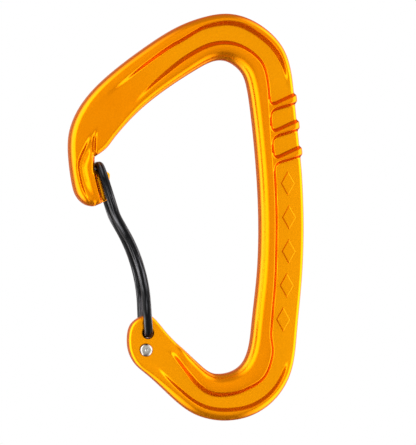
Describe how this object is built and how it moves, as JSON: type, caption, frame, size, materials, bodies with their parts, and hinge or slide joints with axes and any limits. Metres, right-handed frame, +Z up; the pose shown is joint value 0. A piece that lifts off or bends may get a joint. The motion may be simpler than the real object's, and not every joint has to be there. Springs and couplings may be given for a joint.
{
  "type": "wiregate carabiner",
  "caption": "Bent-wiregate climbing carabiner: I-beam forged aluminium frame with a sprung wire gate that swings inwards.",
  "frame": {"origin": "seat of the top basket, the highest point of the rope space, in the frame's middle plane", "axes": "+Z up along the length, +X from the gate to the spine, +Y through the thickness, away from the face with the swaged head"},
  "size_m": [0.0569, 0.0106, 0.098],
  "materials": {
    "frame": "orange anodised, satin",
    "gate_wire": "black coated spring steel, semi-gloss",
    "swaged_head": "bare upset steel, bright"
  },
  "bodies": {
    "frame": {"frame": "frame"},
    "gate_front_leg": {"gate_wire_front": "gate_wire"},
    "gate_back_leg": {"gate_wire_back": "gate_wire", "swaged_head": "swaged_head"}
  },
  "joints": [
    {"name": "gate_swing", "type": "hinge", "parent": "frame", "child": "gate_front_leg", "pos_m": [-0.0168, 0, -0.0657], "axis": [0, 1, 0], "range_deg": [0, 52], "stiffness_Nm_per_rad": 0.24, "springref_deg": -40.11},
    {"name": "gate_twist", "type": "hinge", "parent": "gate_front_leg", "child": "gate_back_leg", "pos_m": [-0.0285, 0, -0.0255], "axis": [0, 1, 0], "range_deg": [-6, 0.5]}
  ],
  "couplings": [
    {"joint": "gate_twist", "follows": "gate_swing", "ratio": -0.081}
  ]
}
